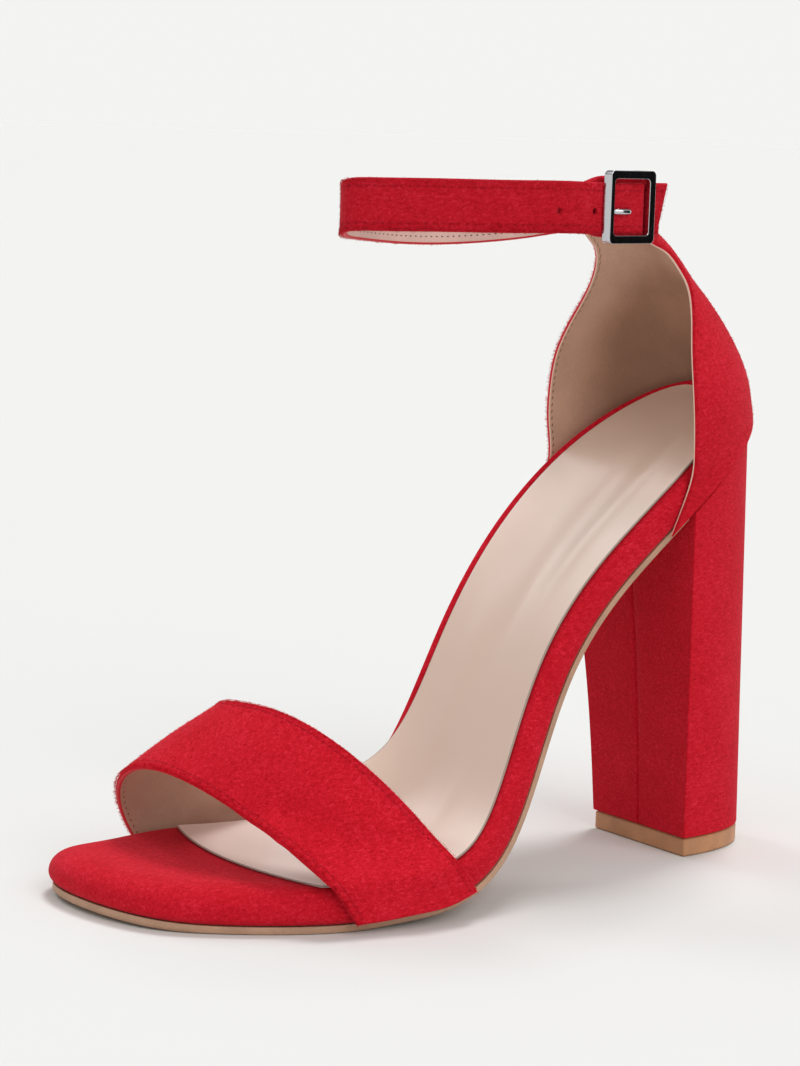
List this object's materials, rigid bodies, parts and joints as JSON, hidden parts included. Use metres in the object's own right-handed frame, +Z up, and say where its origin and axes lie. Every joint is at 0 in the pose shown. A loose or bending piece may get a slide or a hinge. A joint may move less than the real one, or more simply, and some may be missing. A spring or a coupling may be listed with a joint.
{
  "type": "ankle_strap_heel",
  "caption": "Left sandal in red suede on a tall block heel, with an open toe, a wide toe band, a closed heel cup and a fastened ankle strap",
  "frame": {"origin": "middle of the shoe's box, on the floor plane under it", "axes": "+Y from the toe to the heel, +X to the outer side of the left foot, +Z up"},
  "size_m": [0.089, 0.2004, 0.1864],
  "materials": {
    "footbed_suede": "matt suede nap",
    "sock_liner_liner": "satin",
    "outsole_sole": "matt",
    "heel_block_suede": "matt suede nap",
    "heel_tip_tip": "matt",
    "counter_suede": "matt suede nap",
    "toe_band_suede": "matt suede nap",
    "ankle_strap_suede": "matt suede nap",
    "buckle_tab_suede": "matt suede nap",
    "buckle_frame_chrome": "polished",
    "buckle_prong_chrome": "polished"
  },
  "bodies": {
    "root": {"footbed": "footbed_suede", "sock_liner": "sock_liner_liner", "outsole": "outsole_sole", "heel_block": "heel_block_suede", "heel_tip": "heel_tip_tip", "counter": "counter_suede", "toe_band": "toe_band_suede", "ankle_strap": "ankle_strap_suede", "buckle_tab": "buckle_tab_suede", "buckle_frame": "buckle_frame_chrome", "buckle_prong": "buckle_prong_chrome"}
  },
  "joints": []
}
